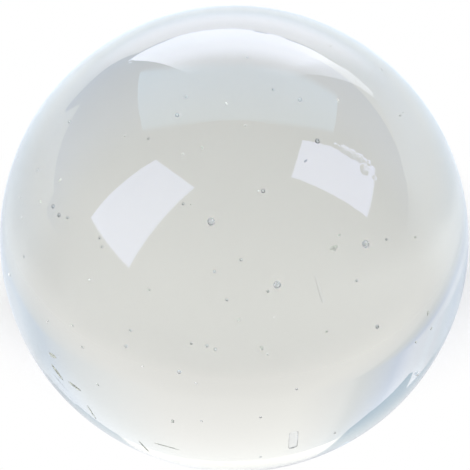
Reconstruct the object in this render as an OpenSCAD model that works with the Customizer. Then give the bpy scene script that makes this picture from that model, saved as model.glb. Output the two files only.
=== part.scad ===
// Glass marble: one solid ball of clear glass, with the gas seeds, the shear
// scar and the small skin flaws that forming it left behind.
// The origin is the centre of the ball and +Z is up. A place on or in the ball
// is a direction from its centre, azimuth from +X towards +Y and elevation
// above the middle, with a depth below the skin.

/* [Ball] */
// Diameter of the ball
ball_d = 16; // [12:0.5:25]

/* [Seeds] */
// Diameter of the large round seeds
large_seed_d = 0.2; // [0.12:0.02:0.4]
// Diameter of the middling round seeds
middle_seed_d = 0.12; // [0.08:0.01:0.2]
// Diameter of the small round seeds
small_seed_d = 0.08; // [0.05:0.01:0.15]
// Number of small seeds scattered through the glass
scattered_count = 24; // [0:1:60]
// Least glass between a scattered seed and the skin
scattered_cover = 1; // [0.5:0.1:2]
// Depth of the band that the scattered seeds lie in
scattered_band = 3.5; // [1:0.1:3.5]

/* [Drawn seeds] */
// Width of the thread seed, which was pulled long as the glass was gathered
thread_w = 0.1; // [0.06:0.02:0.2]
// Length of the thread seed
thread_l = 0.9; // [0.4:0.1:1.4]
// Depth of the thread seed below the skin
thread_depth = 1.5; // [0.8:0.1:3]
// Width of the blister, a long seed close under the skin
blister_w = 0.3; // [0.2:0.02:0.4]
// Length of the blister
blister_l = 1.2; // [0.6:0.1:1.4]
// Glass between the blister and the skin
blister_cover = 0.25; // [0.15:0.05:0.6]

/* [Shear scar] */
// Depth of the cut left where the shears parted the gob
shear_depth = 0.05; // [0.02:0.01:0.08]
// Edge radius of the shear blade, which sets the width of the cut
shear_edge_r = 0.4; // [0.2:0.05:0.8]
// Depth of the shorter cut beside its upper end
nip_depth = 0.015; // [0.01:0.005:0.04]
// Edge radius of the shorter cut
nip_edge_r = 0.25; // [0.15:0.05:0.5]
// Width of the flake lost under the cut
flake_w = 0.5; // [0.3:0.05:0.8]
// Depth of the flake
flake_depth = 0.04; // [0.02:0.01:0.06]

/* [Chill creases] */
// Number of creases in the row that the cold roller left
crease_count = 4; // [1:1:6]
// Angle between one crease and the next
crease_pitch = 4; // [3:0.5:6]
// Depth of a crease
crease_depth = 0.015; // [0.01:0.005:0.03]
// Edge radius of a crease, which sets its width
crease_edge_r = 0.12; // [0.08:0.02:0.3]

/* [Pits] */
// Number of pits scattered over the skin, besides those that stand out
pit_count = 8; // [0:1:30]
// Width of a pit
pit_w = 0.14; // [0.1:0.01:0.3]
// Depth of a pit
pit_depth = 0.02; // [0.01:0.005:0.03]

/* [Hidden] */
ball_r = ball_d / 2;
// The seeds that stand out, each as azimuth, elevation and depth
large_seeds = [[-101, 36, 4], [-74, 12, 3.8], [-39, 18, 3.3]];
middle_seeds = [[-150, 25, 1.2], [-147, 24, 1.3], [-80, 42, 1.6], [-51, 0, 1.4]];
small_seeds = [
    [-130, 24, 1.3], [-129, 22, 1.4], [-62, 69, 1.3], [-128, 52, 1.4],
    [-107, 38, 1.6], [-81, 16, 1.6], [-92, 14, 1.6], [-117, 3, 1.3],
    [-101, 2, 1.4], [-57, 15, 1.2], [-45, 22, 1.2], [-74, -12, 1.2],
    [-83, -21, 1.2]
];
// The pits that stand out, each as azimuth and elevation
pit_places = [
    [-101, 50], [-102, 37], [-63, 28], [-65, 25], [-69, 7], [-84, 5],
    [-89, 12], [-110, 17], [-39, 1], [-43, -5], [-145, 33], [-149, 26],
    [-127, -2], [-124, -12], [-105, -18], [38, 67]
];
// Where the drawn seeds and the skin flaws lie, as azimuth and elevation
thread_place = [-67, 15];
blister_place = [-74, -28];
shear_place = [-50, 44];
crease_place = [-137, -14];
// The nip and the flake, counted in the same way from the middle of the cut
nip_offset = [-8, 1];
flake_offset = [1.5, -4];
// How far each long feature is turned from upright
thread_turn = 10;
blister_turn = -5;
shear_turn = 42;
nip_turn = -10;
crease_turn = 40;
// How far each crease lies to the east of the one above it, as a share of the
// angle between them
crease_lean = 0.2;
// The seed numbers of the random draws and the step from one draw to the next
seeds_draw = 7;
pits_draw = 11;
draw_step = 13;
// The fineness of large and of small curves
ball_fn = 180;
small_fn = 24;

// Random places in the ball, as azimuth, elevation and a share from 0 to 1
function scatter(count, draw) = [
    for (i = [0 : 1 : count - 1])
        let (r = rands(0, 1, 3, draw + i * draw_step))
            [360 * r[0] - 180, asin(2 * r[1] - 1), r[2]]
];

// Puts its children at a depth below the skin, with +X outwards and +Z
// northwards
module at_skin(place, depth = 0)
    rotate([0, -place[1], place[0]])
        translate([ball_r - depth, 0, 0])
            children();

// A round bubble
module round_seed(place, depth, d)
    at_skin(place, depth)
        sphere(d = d, $fn = small_fn);

// A bubble drawn out along the skin: a rod with round ends
module drawn_seed(place, depth, turn, w, l)
    at_skin(place, depth)
        rotate([turn, 0, 0]) {
            cylinder(d = w, h = l - w, center = true, $fn = small_fn);
            for (side = [-1, 1])
                translate([0, 0, side * (l - w) / 2])
                    sphere(d = w, $fn = small_fn);
        }

// A cut with the form of a straight round edge pressed into the skin. It runs
// out at both ends where the ball curves away from the edge.
module edge_cut(place, turn, depth, edge_r)
    at_skin(place, depth - edge_r)
        rotate([turn, 0, 0])
            cylinder(r = edge_r, h = ball_r, center = true, $fn = small_fn * 2);

// A round hollow of a given width and depth
module hollow(place, w, depth) {
    hollow_r = (pow(w / 2, 2) + pow(depth, 2)) / (2 * depth);
    at_skin(place, depth - hollow_r)
        sphere(r = hollow_r, $fn = small_fn * 2);
}

module seeds() {
    for (s = large_seeds)
        round_seed(s, s[2], large_seed_d);
    for (s = middle_seeds)
        round_seed(s, s[2], middle_seed_d);
    for (s = small_seeds)
        round_seed(s, s[2], small_seed_d);
    for (s = scatter(scattered_count, seeds_draw))
        round_seed(s, scattered_cover + scattered_band * s[2], small_seed_d);
}

module drawn_seeds() {
    drawn_seed(thread_place, thread_depth, thread_turn, thread_w, thread_l);
    drawn_seed(blister_place, blister_cover + blister_w / 2, blister_turn, blister_w, blister_l);
}

// The long cut of the shears, the nip beside its upper end and the flake under
// its middle
module shear_scar() {
    edge_cut(shear_place, shear_turn, shear_depth, shear_edge_r);
    edge_cut(shear_place + nip_offset, nip_turn, nip_depth, nip_edge_r);
    hollow(shear_place + flake_offset, flake_w, flake_depth);
}

// A row of short creases, each a step further down the ball
module creases() {
    for (i = [0 : crease_count - 1])
        edge_cut(
            crease_place + crease_pitch * (i - (crease_count - 1) / 2) * [crease_lean, -1],
            crease_turn, crease_depth, crease_edge_r
        );
}

module pits() {
    for (p = concat(pit_places, scatter(pit_count, pits_draw)))
        hollow(p, pit_w, pit_depth);
}

module marble()
    color([0.84, 0.86, 0.84, 0.6])
        difference() {
            sphere(d = ball_d, $fn = ball_fn);
            seeds();
            drawn_seeds();
            shear_scar();
            creases();
            pits();
        }

marble();
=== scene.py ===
from math import atan, cos, pi, radians, sin

import bpy
import numpy as np
from mathutils import Matrix, Vector


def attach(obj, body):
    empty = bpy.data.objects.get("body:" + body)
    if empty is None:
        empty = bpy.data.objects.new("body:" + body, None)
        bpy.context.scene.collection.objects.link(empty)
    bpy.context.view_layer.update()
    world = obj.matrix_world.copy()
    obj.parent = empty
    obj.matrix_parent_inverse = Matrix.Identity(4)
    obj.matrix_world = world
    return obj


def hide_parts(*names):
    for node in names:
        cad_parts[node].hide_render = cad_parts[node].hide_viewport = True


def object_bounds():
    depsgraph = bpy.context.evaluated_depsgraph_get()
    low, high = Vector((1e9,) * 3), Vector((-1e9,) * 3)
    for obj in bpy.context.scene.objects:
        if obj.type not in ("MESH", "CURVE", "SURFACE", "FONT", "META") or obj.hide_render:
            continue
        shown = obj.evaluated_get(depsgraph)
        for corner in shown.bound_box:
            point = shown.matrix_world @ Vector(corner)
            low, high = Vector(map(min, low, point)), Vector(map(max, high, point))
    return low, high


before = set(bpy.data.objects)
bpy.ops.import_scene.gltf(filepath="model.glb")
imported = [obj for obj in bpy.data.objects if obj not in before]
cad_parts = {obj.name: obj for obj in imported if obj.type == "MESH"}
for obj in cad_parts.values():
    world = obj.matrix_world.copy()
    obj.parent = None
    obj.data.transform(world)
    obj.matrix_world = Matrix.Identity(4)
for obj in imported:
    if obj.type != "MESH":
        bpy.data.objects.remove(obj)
cadLow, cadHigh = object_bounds()
ballRadius = (cadHigh.z - cadLow.z) / 2
print("frame loaded, ball radius", round(ballRadius * 1000, 3), "mm")


# a direction from the ball's centre: azimuth from +X towards +Y, elevation above the middle
def heading(azimuth, elevation):
    a, e = radians(azimuth), radians(elevation)
    return np.array([cos(a) * cos(e), sin(a) * cos(e), sin(e)])


# camera: a long lens, looking down at the ball until it fills the frame
view = {
    "azimuth": -90,
    "elevation": 30,
    "lens": 150,
    "sensor": 36,
    "fill": 0.9996,  # ball's radius over half the frame
    "shiftX": 0.0013,
    "shiftY": 0.0077,
    "clip": (0.02, 40),  # near and far, over the distance to the ball
}


# the camera stands off until the ball's outline subtends the wanted share of the frame
def makeCamera(v):
    data = bpy.data.cameras.new("camera")
    data.lens = v["lens"]
    data.sensor_width = v["sensor"]
    halfTan = v["sensor"] / 2 / v["lens"]
    away = ballRadius / sin(atan(halfTan * v["fill"]))
    data.clip_start = away * v["clip"][0]
    data.clip_end = away * v["clip"][1]
    data.shift_x = v["shiftX"]
    data.shift_y = v["shiftY"]
    camera = bpy.data.objects.new("camera", data)
    back = Vector(heading(v["azimuth"], v["elevation"]))
    camera.location = back * away
    camera.rotation_euler = (-back).to_track_quat("-Z", "Y").to_euler()
    bpy.context.scene.collection.objects.link(camera)
    bpy.context.scene.camera = camera


makeCamera(view)
print("camera ready")


def meshObject(name, points, faces):
    mesh = bpy.data.meshes.new(name)
    mesh.from_pydata(points.tolist(), [], faces)
    mesh.polygons.foreach_set("use_smooth", np.full(len(mesh.polygons), True))
    mesh.update()
    made = bpy.data.objects.new(name, mesh)
    bpy.context.scene.collection.objects.link(made)
    return made


# faces of a closed grid: quads between neighbouring rings and a fan at each pole;
# the poles are the last two points
def closedFaces(rings, around, start=0, inward=False):
    first = np.arange(around)
    after = (first + 1) % around
    rows = np.arange(rings - 1)[:, None] * around
    quads = np.stack([rows + first, rows + around + first, rows + around + after, rows + after], -1)
    quads = quads.reshape(-1, 4)
    last = (rings - 1) * around
    poles = np.full(around, rings * around)
    fromFirst = np.stack([poles, first, after], -1)
    fromLast = np.stack([poles + 1, last + after, last + first], -1)
    fans = np.vstack([fromFirst, fromLast])
    if inward:
        quads, fans = quads[:, ::-1], fans[:, ::-1]
    return (quads + start).tolist() + (fans + start).tolist()


# unit directions on rings about a pole: cos p along the pole, sin p round it
def ringDirections(polar, around, pole, zero):
    side = np.cross(pole, zero)
    p, a = np.meshgrid(polar, around, indexing="ij")
    outwards = np.cos(a)[..., None] * zero + np.sin(a)[..., None] * side
    rings = np.cos(p)[..., None] * pole + np.sin(p)[..., None] * outwards
    return np.vstack([rings.reshape(-1, 3), pole, -pole])


# numbers from low to high, closer together near the spots: equal steps of the running total
# of 1 plus a bell round each spot
def closerNear(low, high, count, spots, reach, closer, samples=4001):
    fine = np.linspace(low, high, samples)
    weight = 1 + closer * sum(np.exp(-(((fine - spot) / reach) ** 2)) for spot in spots)
    total = np.concatenate([[0], np.cumsum((weight[1:] + weight[:-1]) / 2)])
    return np.interp(np.linspace(0, total[-1], count + 1), total, fine)


# the ball's skin
skin = {
    "rings": 204,
    "around": 432,
    "closer": 5,  # how much finer the grid is at the scar and the creases
    "reach": 8,  # degrees round them
    "outOfRound": 0.0056,  # how much shorter the ball is along the short axis
    "shortAxis": (0.34, 0.47, 0.81),
    "waves": 9,
    "waveHeight": 0.0000015,
    "waveLength": (0.0025, 0.006),
    "rounding": 0.000002,  # how far the fire polish has rounded the edges of the flaws
    "seed": 4,
}
# the cuts in it, with their places and sizes as in the CAD source, in metres and degrees
shearScar = {
    "azimuth": -50,
    "elevation": 44,
    "turn": 42,
    "depth": 0.00005,
    "edge": 0.0004,
    "ragged": 0.6,  # share of the depth that comes and goes along the cut
    "raggedWaves": (260, 97),  # radians of its two waves in one ball radius
}
nip = {"azimuth": -58, "elevation": 45, "turn": -10, "depth": 0.000015, "edge": 0.00025}
flake = {"azimuth": -48.5, "elevation": 40, "depth": 0.00004, "width": 0.0005}
chillCreases = {
    "azimuth": -137,
    "elevation": -14,
    "turn": 40,
    "depth": 0.000015,
    "edge": 0.00012,
    "count": 4,
    "pitch": 4,
    "lean": 0.2,
}


# out of round: a little shorter along one axis, by the square of the cosine to it
def smoothRadius(directions):
    short = np.array(skin["shortAxis"]) / np.linalg.norm(skin["shortAxis"])
    return ballRadius * (1 - skin["outOfRound"] * (directions @ short) ** 2)


# slow waves left by the rollers: a sum of cosines along random directions, never above the ball
def waves(directions):
    rng = np.random.default_rng(skin["seed"])
    along = rng.normal(size=(skin["waves"], 3))
    along /= np.linalg.norm(along, axis=1)[:, None]
    turns = 2 * pi * ballRadius / rng.uniform(*skin["waveLength"], skin["waves"])
    phase = rng.uniform(0, 2 * pi, skin["waves"])
    summed = np.cos(directions @ (along * turns[:, None]).T + phase).sum(-1)
    return skin["waveHeight"] * (summed - skin["waves"])


# where a ray from the centre first meets a rod of radius edge whose near side lies depth below
# the skin, the smaller root of a t squared - 2 b t + c; with no axis it is a ball instead
def pressedIn(directions, cut, axis=None):
    out = heading(cut["azimuth"], cut["elevation"])
    flat = directions
    depth = cut["depth"]
    if axis is not None:
        along = directions @ axis
        flat = directions - along[:, None] * axis
        if "ragged" in cut:
            quick, slow = cut["raggedWaves"]
            wave = np.cos(along * quick) * np.cos(along * slow + 1)
            depth = depth * (1 - cut["ragged"] * (1 - wave) / 2)
    middle = smoothRadius(out) - depth + cut["edge"]
    a = (flat**2).sum(-1)
    b = (flat @ out) * middle
    inside = b**2 - a * (middle**2 - cut["edge"] ** 2)
    hit = (inside > 0) & (b > 0)
    return np.where(hit, (b - np.sqrt(np.where(hit, inside, 0))) / a, ballRadius * 2)


# the axis of a cut, turned from upright within the skin
def cutAxis(cut):
    out = heading(cut["azimuth"], cut["elevation"])
    north = heading(cut["azimuth"], cut["elevation"] + 90)
    turn = radians(cut["turn"])
    return north * cos(turn) - np.cross(north, out) * sin(turn)


# the creases one by one, each a pitch below the one before and leaning a share of it eastwards
def creaseRow(row):
    for step in np.arange(row["count"]) - (row["count"] - 1) / 2:
        down = row["pitch"] * step
        azimuth = row["azimuth"] + row["lean"] * down
        yield {**row, "azimuth": azimuth, "elevation": row["elevation"] - down}


# the smaller of two radii, with the edge between them rounded
def softMin(first, second):
    r = skin["rounding"]
    return -r * np.logaddexp(-first / r, -second / r)


# distance from the centre to the finished skin: the least of the wavy ball and every cut
def skinRadius(directions):
    radius = smoothRadius(directions) + waves(directions)
    for cut in (shearScar, nip, *creaseRow(chillCreases)):
        radius = softMin(radius, pressedIn(directions, cut, cutAxis(cut)))
    bowlEdge = ((flake["width"] / 2) ** 2 + flake["depth"] ** 2) / (2 * flake["depth"])
    return softMin(radius, pressedIn(directions, {**flake, "edge": bowlEdge}))


# the grid's middle ring runs through the scar and the creases, so that one band of fine rings
# serves both
def ballSkin():
    scar = heading(shearScar["azimuth"], shearScar["elevation"])
    creases = heading(chillCreases["azimuth"], chillCreases["elevation"])
    pole = np.cross(scar, creases)
    pole /= np.linalg.norm(pole)
    apart = np.arccos(scar @ creases)
    reach, closer = radians(skin["reach"]), skin["closer"]
    polar = closerNear(0, pi, skin["rings"] + 1, [pi / 2], reach, closer)[1:-1]
    start, end = apart / 2 - pi, apart / 2 + pi
    around = closerNear(start, end, skin["around"], [0, apart], reach, closer)[:-1]
    directions = ringDirections(polar, around, pole, scar)
    radius = skinRadius(directions)
    cutDepth = smoothRadius(directions) + waves(directions) - radius
    return directions * radius[:, None], closedFaces(skin["rings"], skin["around"]), cutDepth


# the CAD ball's own shells between two distances from the centre, over the radius: corners
# joined by edges share the lowest corner number among them, and each group gives its centre,
# axis, half length and half width
def shells(node, low, high):
    mesh = node.data
    corners = np.empty(len(mesh.vertices) * 3)
    mesh.vertices.foreach_get("co", corners)
    edges = np.empty(len(mesh.edges) * 2, dtype=np.int64)
    mesh.edges.foreach_get("vertices", edges)
    corners = np.round(corners.reshape(-1, 3), 7)  # corners of one place become one
    corners, same = np.unique(corners, axis=0, return_inverse=True)
    ends = same.ravel()[edges.reshape(-1, 2)]
    far = np.linalg.norm(corners, axis=1) / ballRadius
    within = (far > low) & (far < high)
    ends = ends[within[ends].all(1)]
    label = np.arange(len(corners))
    before = None
    while before is None or (label != before).any():
        before = label.copy()
        np.minimum.at(label, ends[:, 0], before[ends[:, 1]])
        np.minimum.at(label, ends[:, 1], before[ends[:, 0]])
    found = []
    for number in np.unique(label[within]):
        group = corners[within & (label == number)]
        centre = (group.min(0) + group.max(0)) / 2
        away = group - centre
        axis = np.linalg.eigh(away.T @ away)[1][:, 2]
        along = away @ axis
        aside = np.linalg.norm(away - along[:, None] * axis, axis=1)
        found.append((centre, axis, np.abs(along).max(), aside.max()))
    return found


# gas seeds, found in the CAD ball
seeds = {
    "rings": 11,
    "around": 18,
    "outermost": 0.985,  # no seed reaches further out than this, over the ball's radius
    "large": 0.00008,  # half width from which a round one counts as large
    "largeDulled": 3.8,  # how dull large, small and drawn ones are inside, a cut being 1
    "smallDulled": 2.5,
    "drawnDulled": 0.2,
    "drawn": 1.5,  # length over width from which one counts as drawn
    "flatness": 0.07,  # thickness over width of a drawn one
    "swing": 12,  # degrees a wide drawn one is turned within the skin
    "wide": 0.0001,  # half width from which a drawn one counts as wide
}
dullDepth = 0.00001  # depth of a cut at which it is fully dull


# a shell round each seed, facing into the gas: a ball whose halves are drawn apart along its
# axis; in a drawn one the height h over its middle plane is flattened to a lens, h times |h|
def seedShells(s, found, start):
    polar = np.linspace(0, pi, s["rings"] + 2)[1:-1]
    columns = np.linspace(0, 2 * pi, s["around"], endpoint=False)
    points, faces, dulled = [], [], []
    for centre, axis, halfLength, halfWidth in found:
        out = centre / np.linalg.norm(centre)
        isDrawn = halfLength > s["drawn"] * halfWidth
        if isDrawn and halfWidth > s["wide"]:
            swing = radians(s["swing"])
            axis = axis * cos(swing) + np.cross(out, axis) * sin(swing)
        aside = np.cross(axis, [1, 0, 0] if abs(axis[0]) < 0.7 else [0, 1, 0])
        unit = ringDirections(polar, columns, axis, aside / np.linalg.norm(aside))
        half = np.sign(np.round(unit @ axis, 6))[:, None]
        away = unit * halfWidth + half * axis * (halfLength - halfWidth)
        if isDrawn:
            height = away @ out
            squeeze = s["flatness"] * np.abs(height) / halfWidth - 1
            away += (squeeze * height)[:, None] * out
        faces += closedFaces(s["rings"], s["around"], start + sum(map(len, points)), inward=True)
        points.append(centre + away)
        size = "drawn" if isDrawn else "large" if halfWidth > s["large"] else "small"
        dulled.append(np.full(len(away), s[size + "Dulled"]))
    return np.vstack(points), faces, np.concatenate(dulled)


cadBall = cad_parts["marble"]
skinPoints, skinFaces, cutDepth = ballSkin()
found = shells(cadBall, 0, seeds["outermost"])
seedPoints, seedFaces, seedDull = seedShells(seeds, found, len(skinPoints))
marble = meshObject("marble_glass", np.vstack([skinPoints, seedPoints]), skinFaces + seedFaces)
# above 0 where the fire polish did not reach: in the seeds and in the cuts
dull = np.concatenate([np.clip(cutDepth / dullDepth, 0, 1), seedDull])
marble.data.attributes.new("dull", "FLOAT", "POINT").data.foreach_set("value", dull)
print("marble made,", len(skinFaces) + len(seedFaces), "faces")

# dirt in the pits
dirt = {
    "width": (0.00005, 0.00014),
    "height": 0.000015,  # how far the fill of a pit stands out
    "lobes": 0.45,
    "wiped": 0.3,  # size on the back, over the usual size
    "seed": 21,
    "dark": (0.47, 0.49, 0.46),
    "pale": (0.66, 0.69, 0.64),
}
# the CAD ball's pits lie between these distances from the centre, over the radius, and are
# no longer than this from middle to end
pits = {"from": 0.985, "to": 0.99985, "longest": 0.0001}
# dark grainy streaks lying along creases and scratches
streaks = {
    # azimuth, elevation, turn from upright, length and width
    "drawn": [
        (-138.7, -10.0, 89, 0.00038, 0.00020),
        (-139.0, -15.5, 40, 0.00070, 0.00017),
        (-132.9, -16.9, 76, 0.00052, 0.00018),
        (-130.7, -25.6, 4, 0.00080, 0.00006),
        (-117.1, -34.7, 4, 0.00090, 0.00007),
        (-108.7, -30.4, 79, 0.00090, 0.00006),
        (-65.1, 25.6, 107, 0.00030, 0.00012),
    ],
    "height": 0.000014,
    "lobes": 0.3,
    "seed": 5,
    "dark": (0.34, 0.35, 0.32),
    "pale": (0.56, 0.59, 0.53),
}
# loose dust
dust = {
    "count": 46,
    "width": (0.00004, 0.0001),
    "height": 0.00003,
    "lobes": 0.5,
    "wiped": 0.6,
    "lowest": -0.5,  # none lies further down, over the radius
    "seed": 8,
    "dark": (0.62, 0.62, 0.60),
    "pale": (0.86, 0.87, 0.86),
}
lumpGrid = {"rings": 7, "around": 16}


# small closed lumps standing on the skin: flattened balls whose outline swells and shrinks by
# two cosines, cos 2a and half of cos 5a; drawn ones have an axis, a length and a width each
def lumps(name, places, d, drawn=None):
    rng = np.random.default_rng(d["seed"])
    polar = np.linspace(0, pi, lumpGrid["rings"] + 2)[1:-1]
    columns = np.linspace(0, 2 * pi, lumpGrid["around"], endpoint=False)
    points, faces = [], []
    for number, (out, far) in enumerate(zip(places, skinRadius(places))):
        wiped = d.get("wiped", 1) if out[1] > 0 else 1
        if drawn is None:
            aside = np.cross(out, rng.normal(size=3))
            width = rng.uniform(*d["width"]) * wiped
            length = width
        else:
            aside, length, width = drawn[number]
        unit = ringDirections(polar, columns, out, aside / np.linalg.norm(aside))
        up = unit @ out
        flat = unit - up[:, None] * out
        turn = np.arctan2(flat @ np.cross(out, aside), flat @ aside)
        phase = rng.uniform(0, 2 * pi, 2)
        lobes = np.cos(2 * turn + phase[0]) + 0.5 * np.cos(5 * turn + phase[1])
        halfWidth = (1 + d["lobes"] * lobes / 1.5) * width / 2
        away = flat * halfWidth[:, None] + up[:, None] * out * d["height"] * wiped
        if drawn is not None:
            away += (flat @ aside)[:, None] * aside * (length - width) / 2
        faces += closedFaces(**lumpGrid, start=sum(map(len, points)))
        points.append(out * far + away)
    return meshObject(name, np.vstack(points), faces)


# pits fill with dirt, so it lies where the CAD ball has its pits
def pitPlaces(node):
    found = shells(node, pits["from"], pits["to"])
    places = np.array([shell[0] for shell in found if shell[2] < pits["longest"]])
    return places / np.linalg.norm(places, axis=1)[:, None]


# random directions, none of them far down
def scattered(d):
    places = np.random.default_rng(d["seed"]).normal(size=(d["count"], 3))
    places /= np.linalg.norm(places, axis=1)[:, None]
    return places[places[:, 2] > d["lowest"]]


# the streaks' lumps, each lying along its own axis
def streakLumps(d):
    places, drawn = [], []
    for azimuth, elevation, turn, length, width in d["drawn"]:
        cut = {"azimuth": azimuth, "elevation": elevation, "turn": turn}
        places.append(heading(azimuth, elevation))
        drawn.append((cutAxis(cut), length, width))
    return lumps("dark_streaks", np.array(places), d, drawn)


pitDirt = lumps("pit_dirt", pitPlaces(cadBall), dirt)
darkStreaks = streakLumps(streaks)
dustGrains = lumps("dust_grains", scattered(dust), dust)
print("dirt and dust made")


# a node tree with short ways to add what the materials, the room and the lamps are made of
class Tree:
    def __init__(self, tree):
        self.nodes = tree.nodes
        self.links = tree.links

    def add(self, kind, **values):
        node = self.nodes.new("ShaderNode" + kind)
        for name, value in values.items():
            setattr(node, name, value)
        return node

    # a number or a colour is set on the socket, and an output is linked to it
    def put(self, value, socket):
        if isinstance(value, (int, float)):
            socket.default_value = value
        elif isinstance(value, tuple):
            socket.default_value = (*value, 1)
        else:
            self.links.new(value, socket)

    def math(self, operation, *values, clamp=False):
        node = self.add("Math", operation=operation, use_clamp=clamp)
        for value, socket in zip(values, node.inputs):
            self.put(value, socket)
        return node.outputs[0]

    def plus(self, first, second, clamp=False):
        return self.math("ADD", first, second, clamp=clamp)

    def minus(self, first, second, clamp=False):
        return self.math("SUBTRACT", first, second, clamp=clamp)

    def times(self, first, second):
        return self.math("MULTIPLY", first, second)

    def over(self, first, second):
        return self.math("DIVIDE", first, second)

    def larger(self, first, second):
        return self.math("MAXIMUM", first, second)

    # first times second, plus third
    def timesPlus(self, first, second, third):
        return self.math("MULTIPLY_ADD", first, second, third)

    def split(self, place):
        node = self.add("SeparateXYZ")
        self.put(place, node.inputs[0])
        return node.outputs

    def distance(self, place, point):
        node = self.add("VectorMath", operation="DISTANCE")
        node.inputs[1].default_value = point
        self.put(place, node.inputs[0])
        return node.outputs["Value"]

    # a smooth step of a number from 0 at low to 1 at high
    def step(self, number, low, high):
        node = self.add("MapRange", interpolation_type="SMOOTHSTEP")
        self.put(low, node.inputs["From Min"])
        self.put(high, node.inputs["From Max"])
        self.put(number, node.inputs["Value"])
        return node.outputs[0]

    # 1 where a number is well below zero, falling to 0 there over the blur
    def below(self, number, blur):
        return self.minus(1.0, self.step(number, -blur, 0.0))

    def mix(self, factor, first, second, blend="MIX"):
        node = self.add("Mix", data_type="RGBA", blend_type=blend)
        self.put(factor, node.inputs[0])
        self.put(first, node.inputs[6])
        self.put(second, node.inputs[7])
        return node.outputs[2]

    # a colour ramp along a number; stops are pairs of the number and the colour there
    def tones(self, number, stops):
        low, high = stops[0][0], stops[-1][0]
        along = self.add("MapRange")
        self.put(low, along.inputs["From Min"])
        self.put(high, along.inputs["From Max"])
        self.put(number, along.inputs["Value"])
        ramp = self.add("ValToRGB")
        elements = ramp.color_ramp.elements
        elements.remove(elements[1])
        elements[0].color = (*stops[0][1], 1)
        for at, colour in stops[1:]:
            elements.new((at - low) / (high - low)).color = (*colour, 1)
        self.put(along.outputs[0], ramp.inputs[0])
        return ramp.outputs[0]

    # the same for a plain number
    def levels(self, number, stops):
        return self.tones(number, [(at, (value,) * 3) for at, value in stops])

    def noise(self, place, scale, detail=2.0, roughness=0.5):
        node = self.add("TexNoise")
        self.put(scale, node.inputs["Scale"])
        self.put(detail, node.inputs["Detail"])
        self.put(roughness, node.inputs["Roughness"])
        self.put(place, node.inputs["Vector"])
        return node.outputs[0]

    def bump(self, height, depth, normal=None):
        node = self.add("Bump")
        self.put(depth, node.inputs["Distance"])
        self.put(height, node.inputs["Height"])
        if normal is not None:
            self.put(normal, node.inputs["Normal"])
        return node.outputs[0]

    # seen is 1 where a camera, glossy or transmission ray looks, mirrored for a ray straight off
    # the ball's outside, through for one that comes through the glass, direct for the camera's own
    def rays(self):
        path = self.add("LightPath")
        direct = path.outputs["Is Camera Ray"]
        glossy = path.outputs["Is Glossy Ray"]
        through = path.outputs["Is Transmission Ray"]
        seen = self.plus(self.plus(direct, glossy), through, clamp=True)
        mirrored = self.minus(glossy, through, clamp=True)
        return seen, mirrored, through, direct


def newMaterial(name):
    material = bpy.data.materials.new(name)
    material.use_nodes = True
    return material, Tree(material.node_tree)


glass = {
    "ior": 1.52,
    "tint": (0.822, 0.818, 0.780),
    "density": 100,
    "ripple": 0.0000004,  # height of the rollers' fine ripple, and its features per metre
    "rippleScale": 900,
    "scuff": 0.0000008,  # depth of the tiny scuffs, their cells per metre, and their edge
    "scuffScale": 1500,
    "scuffEdge": (0.06, 0.16),
    "dull": 0.22,  # roughness in the seeds and the cuts
    "smudge": 0.03,  # roughness where it was handled
    "smudgeScale": 260,
    "smudgeDetail": 4,
    "smudgeEdge": (0.52, 0.72),
}


# clear glass: volume absorption for the cast, a noise ripple and small round scuffs as bump,
# roughness in smudges
def glassMaterial(g):
    material, tree = newMaterial("clear_glass")
    shader = tree.nodes["Principled BSDF"]
    shader.inputs["Base Color"].default_value = (1, 1, 1, 1)
    shader.inputs["Transmission Weight"].default_value = 1
    shader.inputs["IOR"].default_value = g["ior"]
    place = tree.add("TexCoord").outputs["Object"]
    cells = tree.add("TexVoronoi")
    tree.put(g["scuffScale"], cells.inputs["Scale"])
    tree.put(place, cells.inputs["Vector"])
    scuffs = tree.bump(tree.step(cells.outputs["Distance"], *g["scuffEdge"]), g["scuff"])
    ripple = tree.bump(tree.noise(place, g["rippleScale"]), g["ripple"], scuffs)
    tree.put(ripple, shader.inputs["Normal"])
    smudged = tree.step(tree.noise(place, g["smudgeScale"], g["smudgeDetail"]), *g["smudgeEdge"])
    unpolished = tree.add("Attribute", attribute_name="dull").outputs["Fac"]
    rough = tree.plus(tree.times(smudged, g["smudge"]), tree.times(unpolished, g["dull"]))
    tree.put(rough, shader.inputs["Roughness"])
    absorb = tree.add("VolumeAbsorption")
    absorb.inputs["Color"].default_value = (*g["tint"], 1)
    absorb.inputs["Density"].default_value = g["density"]
    tree.put(absorb.outputs[0], tree.nodes["Material Output"].inputs["Volume"])
    return material


grain = {
    "scale": 9000,
    "detail": 4,
    "edge": (0.35, 0.65),
    "roughness": 0.85,
    "depth": 0.00001,
}


# rough grains: noise mixes two colours and bumps the surface
def grainMaterial(name, dark, pale):
    material, tree = newMaterial(name)
    shader = tree.nodes["Principled BSDF"]
    shader.inputs["Roughness"].default_value = grain["roughness"]
    place = tree.add("TexCoord").outputs["Object"]
    speckle = tree.noise(place, grain["scale"], grain["detail"])
    tree.put(tree.mix(tree.step(speckle, *grain["edge"]), dark, pale), shader.inputs["Base Color"])
    tree.put(tree.bump(speckle, grain["depth"]), shader.inputs["Normal"])
    return material


marble.data.materials.append(glassMaterial(glass))
pitDirt.data.materials.append(grainMaterial("pit_dirt", dirt["dark"], dirt["pale"]))
darkStreaks.data.materials.append(grainMaterial("dark_streaks", streaks["dark"], streaks["pale"]))
dustGrains.data.materials.append(grainMaterial("dust", dust["dark"], dust["pale"]))
for piece in (marble, pitDirt, darkStreaks, dustGrains):
    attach(piece, "root")
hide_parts("marble")
print("materials ready")

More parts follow.
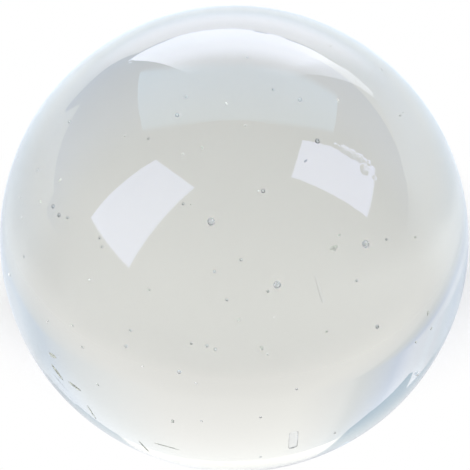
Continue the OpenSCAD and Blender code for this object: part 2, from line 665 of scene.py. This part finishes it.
# floor and backdrop: one pale sheet that turns up behind the ball
sweep = {
    "halfWidth": 0.9,
    "front": -0.9,
    "away": 0.25,
    "bend": 0.05,  # radius of the turn
    "columns": 121,
    "rows": (40, 12, 30),  # points along the floor, round the turn and up the back
    # the top edge, as sideways over away and height over away
    "topEdge": [
        (-1.0, 0.45), (-0.95, 0.20), (-0.56, 0.375), (-0.49, 0.53), (-0.3, 0.535),
        (0.0, 0.555), (0.25, 0.60), (0.57, 0.64), (0.66, 0.625), (0.95, 0.58),
        (1.0, 0.645), (1.3, 0.67), (1.9, 0.785), (2.73, 0.885), (3.6, 0.915),
    ],
    "paper": (0.86, 0.86, 0.86),
    "nearest": 0.01,  # closer to the ball than this, directions count as from here
    # painted light: the colours the paper glows in as glass shows it, by the slant: sideways over
    # away
    "tones": [
        (-1.8, (0.60, 0.69, 0.86)),
        (-1.3, (0.74, 0.82, 0.94)),
        (-1.15, (0.82, 0.86, 0.98)),
        (-1.0, (0.88, 0.95, 1.08)),
        (-0.85, (0.87, 0.915, 1.035)),
        (-0.75, (0.86, 0.91, 1.04)),
        (-0.68, (0.80, 0.86, 1.02)),
        (-0.6, (0.69, 0.765, 0.93)),
        (-0.4, (0.79, 0.82, 0.86)),
        (-0.34, (0.90, 0.915, 0.94)),
        (-0.27, (0.94, 0.945, 0.96)),
        (-0.17, (1.0, 1.0, 1.0)),
        (0.2, (0.99, 0.99, 1.0)),
        (0.6, (0.86, 0.90, 0.96)),
        (0.9, (0.75, 0.835, 0.98)),
        (1.3, (0.755, 0.845, 0.98)),
        (1.6, (0.79, 0.855, 0.96)),
        (3.0, (0.76, 0.82, 0.92)),
    ],
    # the slant is counted from this far in front of the ball, and away is at least this much
    "slantFrom": 0.024,
    "slantLeast": 0.03,
    # painted shade: in front of the ball glass sees the paper in this darker tone, and where that
    # gives way to the tones above
    "frontTone": (0.80, 0.83, 0.88),
    "frontReach": (0.002, 0.011),
    # painted light: for glass the paper glows brighter higher up
    "level": 1.10,  # strength at the horizon, and how it changes with rise over run
    "slope": 0.50,
    "curve": 0.60,
    # painted reflection: the colours the paper glows in for rays mirrored off the ball's outside:
    # in front of it, behind it by rise over run, and high up straight behind
    "mirroredFront": (0.42, 0.44, 0.46),
    "mirroredTones": [
        (-0.8, (0.86, 0.88, 0.93)),
        (-0.6, (0.88, 0.93, 1.02)),
        (-0.35, (0.95, 1.02, 1.12)),
        (-0.15, (1.1, 1.23, 1.38)),
        (0.0, (1.42, 1.5, 1.58)),
        (0.2, (1.5, 1.66, 1.9)),
    ],
    "mirroredHigh": (2.65, 2.68, 2.95),
    # where each takes over: by the cosine from straight behind, and high up by rise over run too
    "backFacing": (-0.1, 0.35),
    "highFacing": (0.8, 0.96),
    "highRise": (0.05, 0.35),
    # painted reflection: mirrored close under the ball the paper is as bright as behind it: how far
    # out, and how far forward
    "underReach": (0.0085, 0.0125),
    "underFront": (-0.0062, -0.003),
    # a fainter painted shadow to the left behind the ball, darkening the paper's colour
    "shadeCentre": (-0.0032, 0.0088, -0.008),
    "shadeReach": (0.004, 0.0068),
    "shade": (0.85, 0.85, 0.85),
    # real shading gives way to flat paper between these distances, for glass and for the camera
    "shadowCentre": (0.0, 0.013, -0.008),
    "shadowReach": (0.0042, 0.0165),
    "directReach": (0.006, 0.0135),
}


# painted reflection: what the ball's outside mirrors of the sheet, in colours it glows in for such
# rays only
def sweepSheen(tree, s, y, run, rise, facingBack):
    high = tree.times(tree.step(rise, *s["highRise"]), tree.step(facingBack, *s["highFacing"]))
    behind = tree.mix(high, tree.tones(rise, s["mirroredTones"]), s["mirroredHigh"])
    under = tree.minus(1.0, tree.step(run, *s["underReach"]))
    under = tree.times(under, tree.step(y, *s["underFront"]))
    isBright = tree.larger(tree.step(facingBack, *s["backFacing"]), under)
    return tree.mix(isBright, s["mirroredFront"], behind)


# paper that glass shows by direction, glowing as painted light: strength level + slope t +
# curve t squared, t being rise over run from the ball, and colour by the slant
def sweepMaterial(s):
    material, tree = newMaterial("pale_paper")
    tree.nodes.clear()
    place = tree.add("TexCoord").outputs["Object"]
    x, y, z = tree.split(place)
    seen, mirrored, _, direct = tree.rays()
    run = tree.math("SQRT", tree.plus(tree.times(x, x), tree.times(y, y)))
    clearRun = tree.larger(run, s["nearest"])
    rise = tree.over(z, clearRun)
    facingBack = tree.over(y, clearRun)
    strength = tree.timesPlus(rise, tree.timesPlus(rise, s["curve"], s["slope"]), s["level"])
    slant = tree.over(x, tree.larger(tree.plus(y, s["slantFrom"]), s["slantLeast"]))
    # painted shadow: the paper is darker round shadeCentre, in its glow for glass and in its own
    # colour
    unshaded = tree.step(tree.distance(place, s["shadeCentre"]), *s["shadeReach"])
    shade = tree.mix(unshaded, s["shade"], (1.0, 1.0, 1.0))
    colour = tree.mix(1.0, tree.tones(slant, s["tones"]), strength, "MULTIPLY")
    colour = tree.mix(1.0, colour, shade, "MULTIPLY")
    # painted shade in front of the ball, for rays through the glass
    colour = tree.mix(tree.step(y, *s["frontReach"]), s["frontTone"], colour)
    colour = tree.mix(mirrored, colour, sweepSheen(tree, s, y, run, rise, facingBack))
    colour = tree.mix(direct, colour, (1.0, 1.0, 1.0))
    flat = tree.add("Emission")
    tree.put(colour, flat.inputs["Color"])
    # the paper's own colour carries the painted shadow too
    paper = tree.add("BsdfDiffuse")
    tree.put(tree.mix(1.0, shade, s["paper"], "MULTIPLY"), paper.inputs["Color"])
    gap = tree.distance(place, s["shadowCentre"])
    forCamera = tree.times(direct, tree.step(gap, *s["directReach"]))
    isFlat = tree.larger(tree.step(gap, *s["shadowReach"]), forCamera)
    mix = tree.add("MixShader")
    tree.put(tree.times(seen, tree.larger(isFlat, mirrored)), mix.inputs[0])
    tree.put(paper.outputs[0], mix.inputs[1])
    tree.put(flat.outputs[0], mix.inputs[2])
    tree.put(mix.outputs[0], tree.add("OutputMaterial").inputs["Surface"])
    return material


# the sheet: a flat run, a quarter round and an upright run, carried from left to right
def makeSweep(s):
    flatRows, turnRows, backRows = s["rows"]
    columns = s["columns"]
    across = np.linspace(-s["halfWidth"], s["halfWidth"], columns)
    turn = np.linspace(0, pi / 2, turnRows)[1:]
    rise = np.linspace(0, 1, backRows)[1:]
    flatEnd = s["away"] - s["bend"]
    y = np.concatenate([
        np.linspace(s["front"], flatEnd, flatRows),
        flatEnd + s["bend"] * np.sin(turn),
        np.full(len(rise), s["away"]),
    ])
    top = np.interp(across / s["away"], *zip(*s["topEdge"])) * s["away"] + ballRadius
    low = np.concatenate([np.zeros(flatRows), s["bend"] * (1 - np.cos(turn))])
    low = low[:, None] * np.ones(columns)
    z = np.vstack([low, s["bend"] + rise[:, None] * (top - s["bend"])]) - ballRadius
    x, y = np.broadcast_to(across, z.shape), np.broadcast_to(y[:, None], z.shape)
    points = np.stack([x, y, z], -1).reshape(-1, 3)
    start = (np.arange(len(z) - 1)[:, None] * columns + np.arange(columns - 1)).ravel()
    faces = np.stack([start, start + 1, start + columns + 1, start + columns], -1)
    made = meshObject("sweep", points, faces.tolist())
    made.data.materials.append(sweepMaterial(s))


# the room, by the x, y and z of a direction; a pair of numbers says where one part gives way to
# the next
sky = {
    "behind": (-0.1, 0.4),  # y from the front of the room to behind the ball
    "room": (0.36, 0.38, 0.40),
    "roomBehind": (0.42, 0.55, 0.95),
    "roomBehindLeft": (0.62, 0.82, 1.25),
    "rightward": (-0.4, 0.2),
    "wing": (1.42, 1.50, 1.58),  # a pale wall on the right
    "wingHeight": (0.038, 0.73),  # how high it is at y = 0, and how much that rises with y
    "wingBlur": 0.015,
    "wingX": (0.2, 0.4),
    "wingY": (-0.1, 0.35),
    # as the ball shows it in front, low down behind, and higher up
    "throughFront": (0.68, 0.88, 1.10),
    "through": (0.45, 0.61, 0.77),
    "throughHigh": (0.85, 0.98, 1.06),
    "high": (0.3, 0.65),
    "window": (1.78, 1.76, 1.72),  # and between these places, sideways over away
    "windowLeft": (-0.55, -0.49),
    "windowRight": (0.58, 0.66),
    "windowY": (0.02, 0.1),
    "nearest": 0.01,  # a smaller y counts as this in sideways over away
    "overhead": (0.42, 0.44, 0.48),  # straight up, seen through the ball
    "overheadFrom": (0.72, 0.85),
    "fill": (0.10, 0.107, 0.12),  # as matt things are lit by it
}


# the room seen through the ball
def roomThrough(tree, s, x, y, z):
    room = tree.mix(tree.step(y, *s["behind"]), s["throughFront"], s["through"])
    room = tree.mix(tree.step(z, *s["high"]), room, s["throughHigh"])
    slant = tree.over(x, tree.larger(y, s["nearest"]))
    inWindow = tree.minus(tree.step(slant, *s["windowLeft"]), tree.step(slant, *s["windowRight"]))
    inWindow = tree.times(inWindow, tree.step(y, *s["windowY"]))
    room = tree.mix(inWindow, room, s["window"])
    return tree.mix(tree.step(z, *s["overheadFrom"]), room, s["overhead"])


# the room mirrored off the ball's outside
def roomMirrored(tree, s, x, y, z):
    behind = tree.mix(tree.step(x, *s["rightward"]), s["roomBehindLeft"], s["roomBehind"])
    room = tree.mix(tree.step(y, *s["behind"]), s["room"], behind)
    start, slope = s["wingHeight"]
    top = tree.timesPlus(y, slope, start)
    wing = tree.below(tree.minus(z, top), s["wingBlur"])
    wing = tree.times(wing, tree.step(x, *s["wingX"]))
    wing = tree.times(wing, tree.step(y, *s["wingY"]))
    return tree.mix(wing, room, s["wing"])


def makeSky(s):
    world = bpy.data.worlds.new("studio")
    bpy.context.scene.world = world
    world.use_nodes = True
    tree = Tree(world.node_tree)
    tree.nodes.clear()
    x, y, z = tree.split(tree.add("TexCoord").outputs["Generated"])
    seen, _, through, direct = tree.rays()
    shown = tree.mix(through, roomMirrored(tree, s, x, y, z), roomThrough(tree, s, x, y, z))
    seenSky = tree.add("Background")
    tree.put(tree.mix(direct, shown, (1.0, 1.0, 1.0)), seenSky.inputs["Color"])
    fillSky = tree.add("Background")
    fillSky.inputs["Color"].default_value = (*s["fill"], 1)
    mix = tree.add("MixShader")
    tree.put(seen, mix.inputs[0])
    tree.put(fillSky.outputs[0], mix.inputs[1])
    tree.put(seenSky.outputs[0], mix.inputs[2])
    tree.put(mix.outputs[0], tree.add("OutputWorld").inputs[0])


makeSweep(sweep)
makeSky(sky)
print("floor, backdrop and room ready")

# lights: softboxes in front, a window behind, a panel overhead; glow is what lights matt things,
# sheen what shiny things show; widths, heights and edges are over the distance away
softboxes = {
    "left": {
        "azimuth": 211,
        "elevation": 35.6,
        "away": 0.25,
        "width": 0.583,
        "height": 0.834,
        "roll": -5.3,
        "yaw": 31.2,
        "pitch": 20.8,
        "glow": (8.0, 8.0, 7.9),
        "sheen": (2.8, 3.05, 4.6),
    },
    "right": {
        "azimuth": -16,
        "elevation": 43.1,
        "away": 0.25,
        "width": 0.419,
        "height": 0.701,
        "roll": 20.9,
        "yaw": -22.8,
        "pitch": 14.9,
        "glow": (8.0, 8.0, 7.9),
        "sheen": (3.1, 3.3, 4.9),
    },
}
softboxBorder = 0.03  # over the softbox's own width and height
window = {
    "toward": (0, 1, 0),
    "upright": (0, 0, 1),
    "away": 0.3,
    "left": -0.575,
    "right": 1.05,
    "low": 0.48,
    "high": 2.0,
    "isThrough": False,  # whether it shows through the ball
    "glow": (0.3, 0.3, 0.3),
    "sheen": (4.0, 4.1, 4.6),
    # its strength up the wall and across it
    "fading": [
        (0.48, 0.85), (0.64, 1.0), (0.83, 1.04), (0.956, 1.05), (1.09, 0.98),
        (1.235, 0.78), (1.4, 0.5), (1.59, 0.27), (1.84, 0.06), (2.0, 0.0),
    ],
    "across": [
        (-0.575, 0.9), (-0.35, 0.9), (-0.1, 1.0), (0.54, 1.0), (0.64, 0.65),
        (0.72, 0.52), (0.85, 0.44), (1.05, 0.42),
    ],
    # how high it reaches towards its right side
    "reach": [
        (-0.575, 2.1), (0.715, 2.1), (0.737, 1.41), (0.81, 1.11), (0.864, 0.935),
        (0.914, 0.776), (1.0, 0.69), (1.05, 0.66),
    ],
    "reachBlur": 0.03,
    # its lower edge stands a little clear of the sheet in two places
    "lowEdge": [
        (-0.575, 0.54), (-0.3, 0.54), (-0.2, 0.48), (0.09, 0.48), (0.10, 0.583),
        (0.17, 0.598), (0.18, 0.48), (0.24, 0.48), (0.26, 0.612), (0.57, 0.652),
        (0.66, 0.635), (0.70, 0.48), (1.05, 0.48),
    ],
    "lowBlur": 0.008,
}
overhead = {
    "toward": (0, 0, 1),
    "upright": (0, 1, 0),
    "away": 0.25,
    "left": -0.86,  # counted from +X to -X
    "right": 0.76,
    "low": -0.05,
    "high": 1.0,
    "far": 0.68,  # the far and the near edge, and how much each is bowed
    "farBow": 0.8,
    "near": -0.10,
    "nearBow": 0.24,
    "farMost": 0.74,  # where the far edge stops on the +X side, and how far out that begins
    "mostFrom": (0.1, 0.2),
    "farBlur": 0.2,
    "nearBlur": 0.09,
    "glow": (0.5, 0.5, 0.5),
    "sheen": (0.82, 1.34, 1.75),
}


# a matrix with +Z pointing the given way from the ball, so that a lamp with it shines back;
# +X runs to the left as seen from there
def facing(out, upright=(0, 0, 1)):
    out = np.array(out, dtype=float)
    side = np.cross(upright, out)
    side /= np.linalg.norm(side)
    return Matrix((side, np.cross(out, side), out)).transposed().to_4x4()


# an area lamp; outline gives its strength from the place across it and up it, both 0 to 1 as
# seen from the ball
def makeLamp(name, place, width, height, colour, outline):
    data = bpy.data.lights.new("lamp_" + name, "AREA")
    data.shape = "RECTANGLE"
    data.size = width
    data.size_y = height
    data.energy = width * height * pi  # a radiance of 1 before the nodes
    data.use_nodes = True
    tree = Tree(data.node_tree)
    tree.nodes.clear()
    emission = tree.add("Emission")
    emission.inputs["Color"].default_value = (*colour, 1)
    across, up, _ = tree.split(tree.add("NewGeometry").outputs["Parametric"])
    tree.put(outline(tree, tree.minus(1.0, across), up), emission.inputs["Strength"])
    tree.put(emission.outputs[0], tree.add("OutputLight").inputs[0])
    lamp = bpy.data.objects.new("lamp_" + name, data)
    lamp.matrix_world = place
    bpy.context.scene.collection.objects.link(lamp)
    return lamp


# two lamps, one just behind the other: glow lights matt things only, sheen is what glass and
# shiny things show
def makePair(name, place, width, height, values, outline):
    behind = place @ Matrix.Translation((0, 0, width / 100))
    lamp = makeLamp(name + "_glow", behind, width, height, values["glow"], outline)
    lamp.visible_glossy = False
    lamp.visible_transmission = False
    lamp = makeLamp(name + "_sheen", place, width, height, values["sheen"], outline)
    lamp.visible_diffuse = False
    lamp.visible_transmission = values.get("isThrough", True)


# a flat lamp that stands or lies square to the ball; its outline is asked in distances away
def flatLamp(name, panel, outline):
    width, height = panel["right"] - panel["left"], panel["high"] - panel["low"]

    def scaled(tree, across, up):
        x = tree.timesPlus(across, width, panel["left"])
        z = tree.timesPlus(up, height, panel["low"])
        return outline(tree, panel, x, z)

    turned = facing(panel["toward"], panel["upright"])
    middle = (-(panel["left"] + panel["right"]) / 2, (panel["low"] + panel["high"]) / 2, 1)
    place = Matrix.Translation(turned.to_3x3() @ (Vector(middle) * panel["away"])) @ turned
    makePair(name, place, width * panel["away"], height * panel["away"], panel, scaled)


# 1 inside a rectangle, falling to 0 over a narrow border
def softRectangle(tree, across, up):
    value = 1.0
    for side in (across, up):
        fromMiddle = tree.math("ABSOLUTE", tree.minus(side, 0.5))
        value = tree.times(value, tree.below(tree.minus(fromMiddle, 0.5), softboxBorder))
    return value


def makeSoftbox(name, s):
    out = heading(s["azimuth"], s["elevation"])
    place = Matrix.Translation(Vector(out * s["away"])) @ facing(out)
    for turn, axis in (("roll", "Z"), ("yaw", "Y"), ("pitch", "X")):
        place = place @ Matrix.Rotation(radians(s[turn]), 4, axis)
    makePair(name, place, s["width"] * s["away"], s["height"] * s["away"], s, softRectangle)


# strength fades with height; the right side is dimmer and reaches less high
def windowOutline(tree, w, x, z):
    strength = tree.times(tree.levels(x, w["across"]), tree.levels(z, w["fading"]))
    kept = tree.below(tree.minus(z, tree.levels(x, w["reach"])), w["reachBlur"])
    cleared = tree.below(tree.minus(tree.levels(x, w["lowEdge"]), z), w["lowBlur"])
    return tree.times(tree.times(kept, cleared), strength)


# near and far edges bowed by the square of the place across; the far edge stops rising at
# farMost on the +X side, where x is below zero
def overheadOutline(tree, o, x, y):
    square = tree.times(x, x)
    far = tree.timesPlus(square, o["farBow"], o["far"])
    near = tree.timesPlus(square, o["nearBow"], o["near"])
    kept = tree.below(tree.minus(y, far), o["farBlur"])
    kept = tree.times(kept, tree.below(tree.minus(near, y), o["nearBlur"]))
    most = tree.below(tree.minus(y, o["farMost"]), o["farBlur"])
    free = tree.minus(1.0, tree.step(tree.times(x, -1.0), *o["mostFrom"]))
    return tree.times(kept, tree.larger(most, free))


for name, softbox in softboxes.items():
    makeSoftbox(name, softbox)
flatLamp("window", window, windowOutline)
flatLamp("overhead", overhead, overheadOutline)
print("lights ready")

bpy.context.scene.view_settings.view_transform = "Standard"
